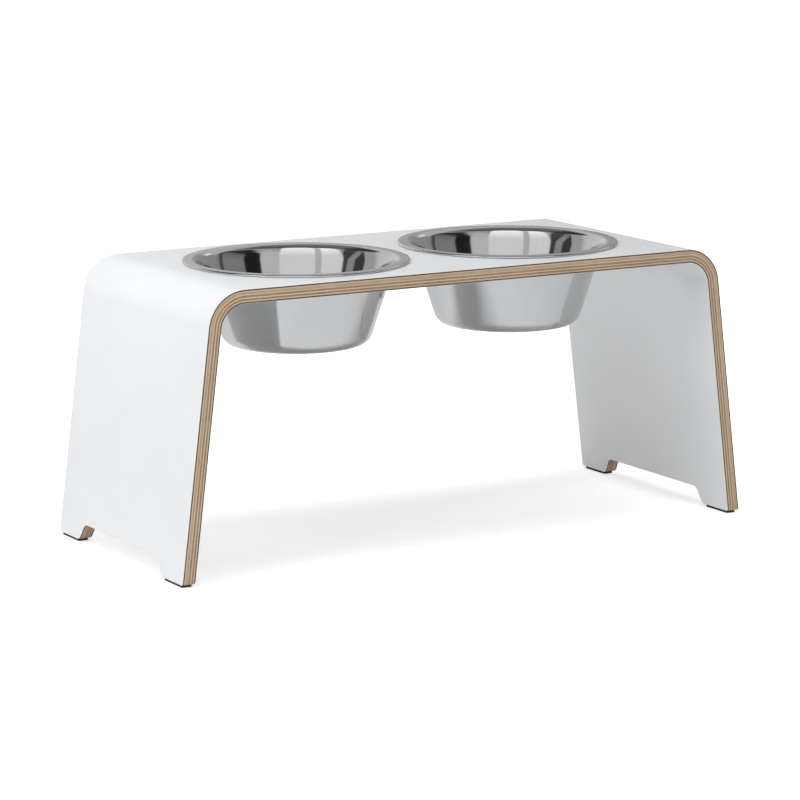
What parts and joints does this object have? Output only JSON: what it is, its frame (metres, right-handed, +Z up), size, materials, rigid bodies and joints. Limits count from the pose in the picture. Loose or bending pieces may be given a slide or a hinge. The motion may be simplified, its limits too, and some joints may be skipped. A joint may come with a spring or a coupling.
{
  "type": "dog feeder stand",
  "caption": "Low bench pressed from white-faced plywood with splayed legs, holding lift-out steel bowls by their rims, on non-slip pads.",
  "frame": {"origin": "on the floor, under the middle of the stand", "axes": "+X along the stand from the left leg to the right leg, -Y is the front, +Z is up"},
  "size_m": [0.6, 0.252, 0.2625],
  "materials": {
    "white_laminate": "satin white laminate",
    "laminate_backer": "dark resin-bound paper, matt",
    "long_grain_veneer": "beech, grain along the edge, clear oil",
    "cross_grain_veneer": "beech, end grain at the edge, clear oil",
    "bowl_steel": "polished stainless steel",
    "pad_rubber": "matt black rubber",
    "adhesive_film": "clear grey adhesive film"
  },
  "bodies": {
    "stand": {"outer_decor": "white_laminate", "outer_backer": "laminate_backer", "veneer_1": "long_grain_veneer", "veneer_2": "cross_grain_veneer", "veneer_3": "long_grain_veneer", "veneer_4": "cross_grain_veneer", "veneer_5": "long_grain_veneer", "veneer_6": "cross_grain_veneer", "veneer_7": "long_grain_veneer", "inner_backer": "laminate_backer", "inner_decor": "white_laminate", "front_left_pad": "pad_rubber", "back_left_pad": "pad_rubber", "front_right_pad": "pad_rubber", "back_right_pad": "pad_rubber", "front_left_film": "adhesive_film", "back_left_film": "adhesive_film", "front_right_film": "adhesive_film", "back_right_film": "adhesive_film"},
    "left_bowl": {"left_bowl": "bowl_steel"},
    "right_bowl": {"right_bowl": "bowl_steel"}
  },
  "joints": [
    {"name": "left_bowl_lift", "type": "slide", "parent": "stand", "child": "left_bowl", "axis": [0, 0, 1], "range_m": [0, 0.11]},
    {"name": "right_bowl_lift", "type": "slide", "parent": "stand", "child": "right_bowl", "axis": [0, 0, 1], "range_m": [0, 0.11]}
  ]
}
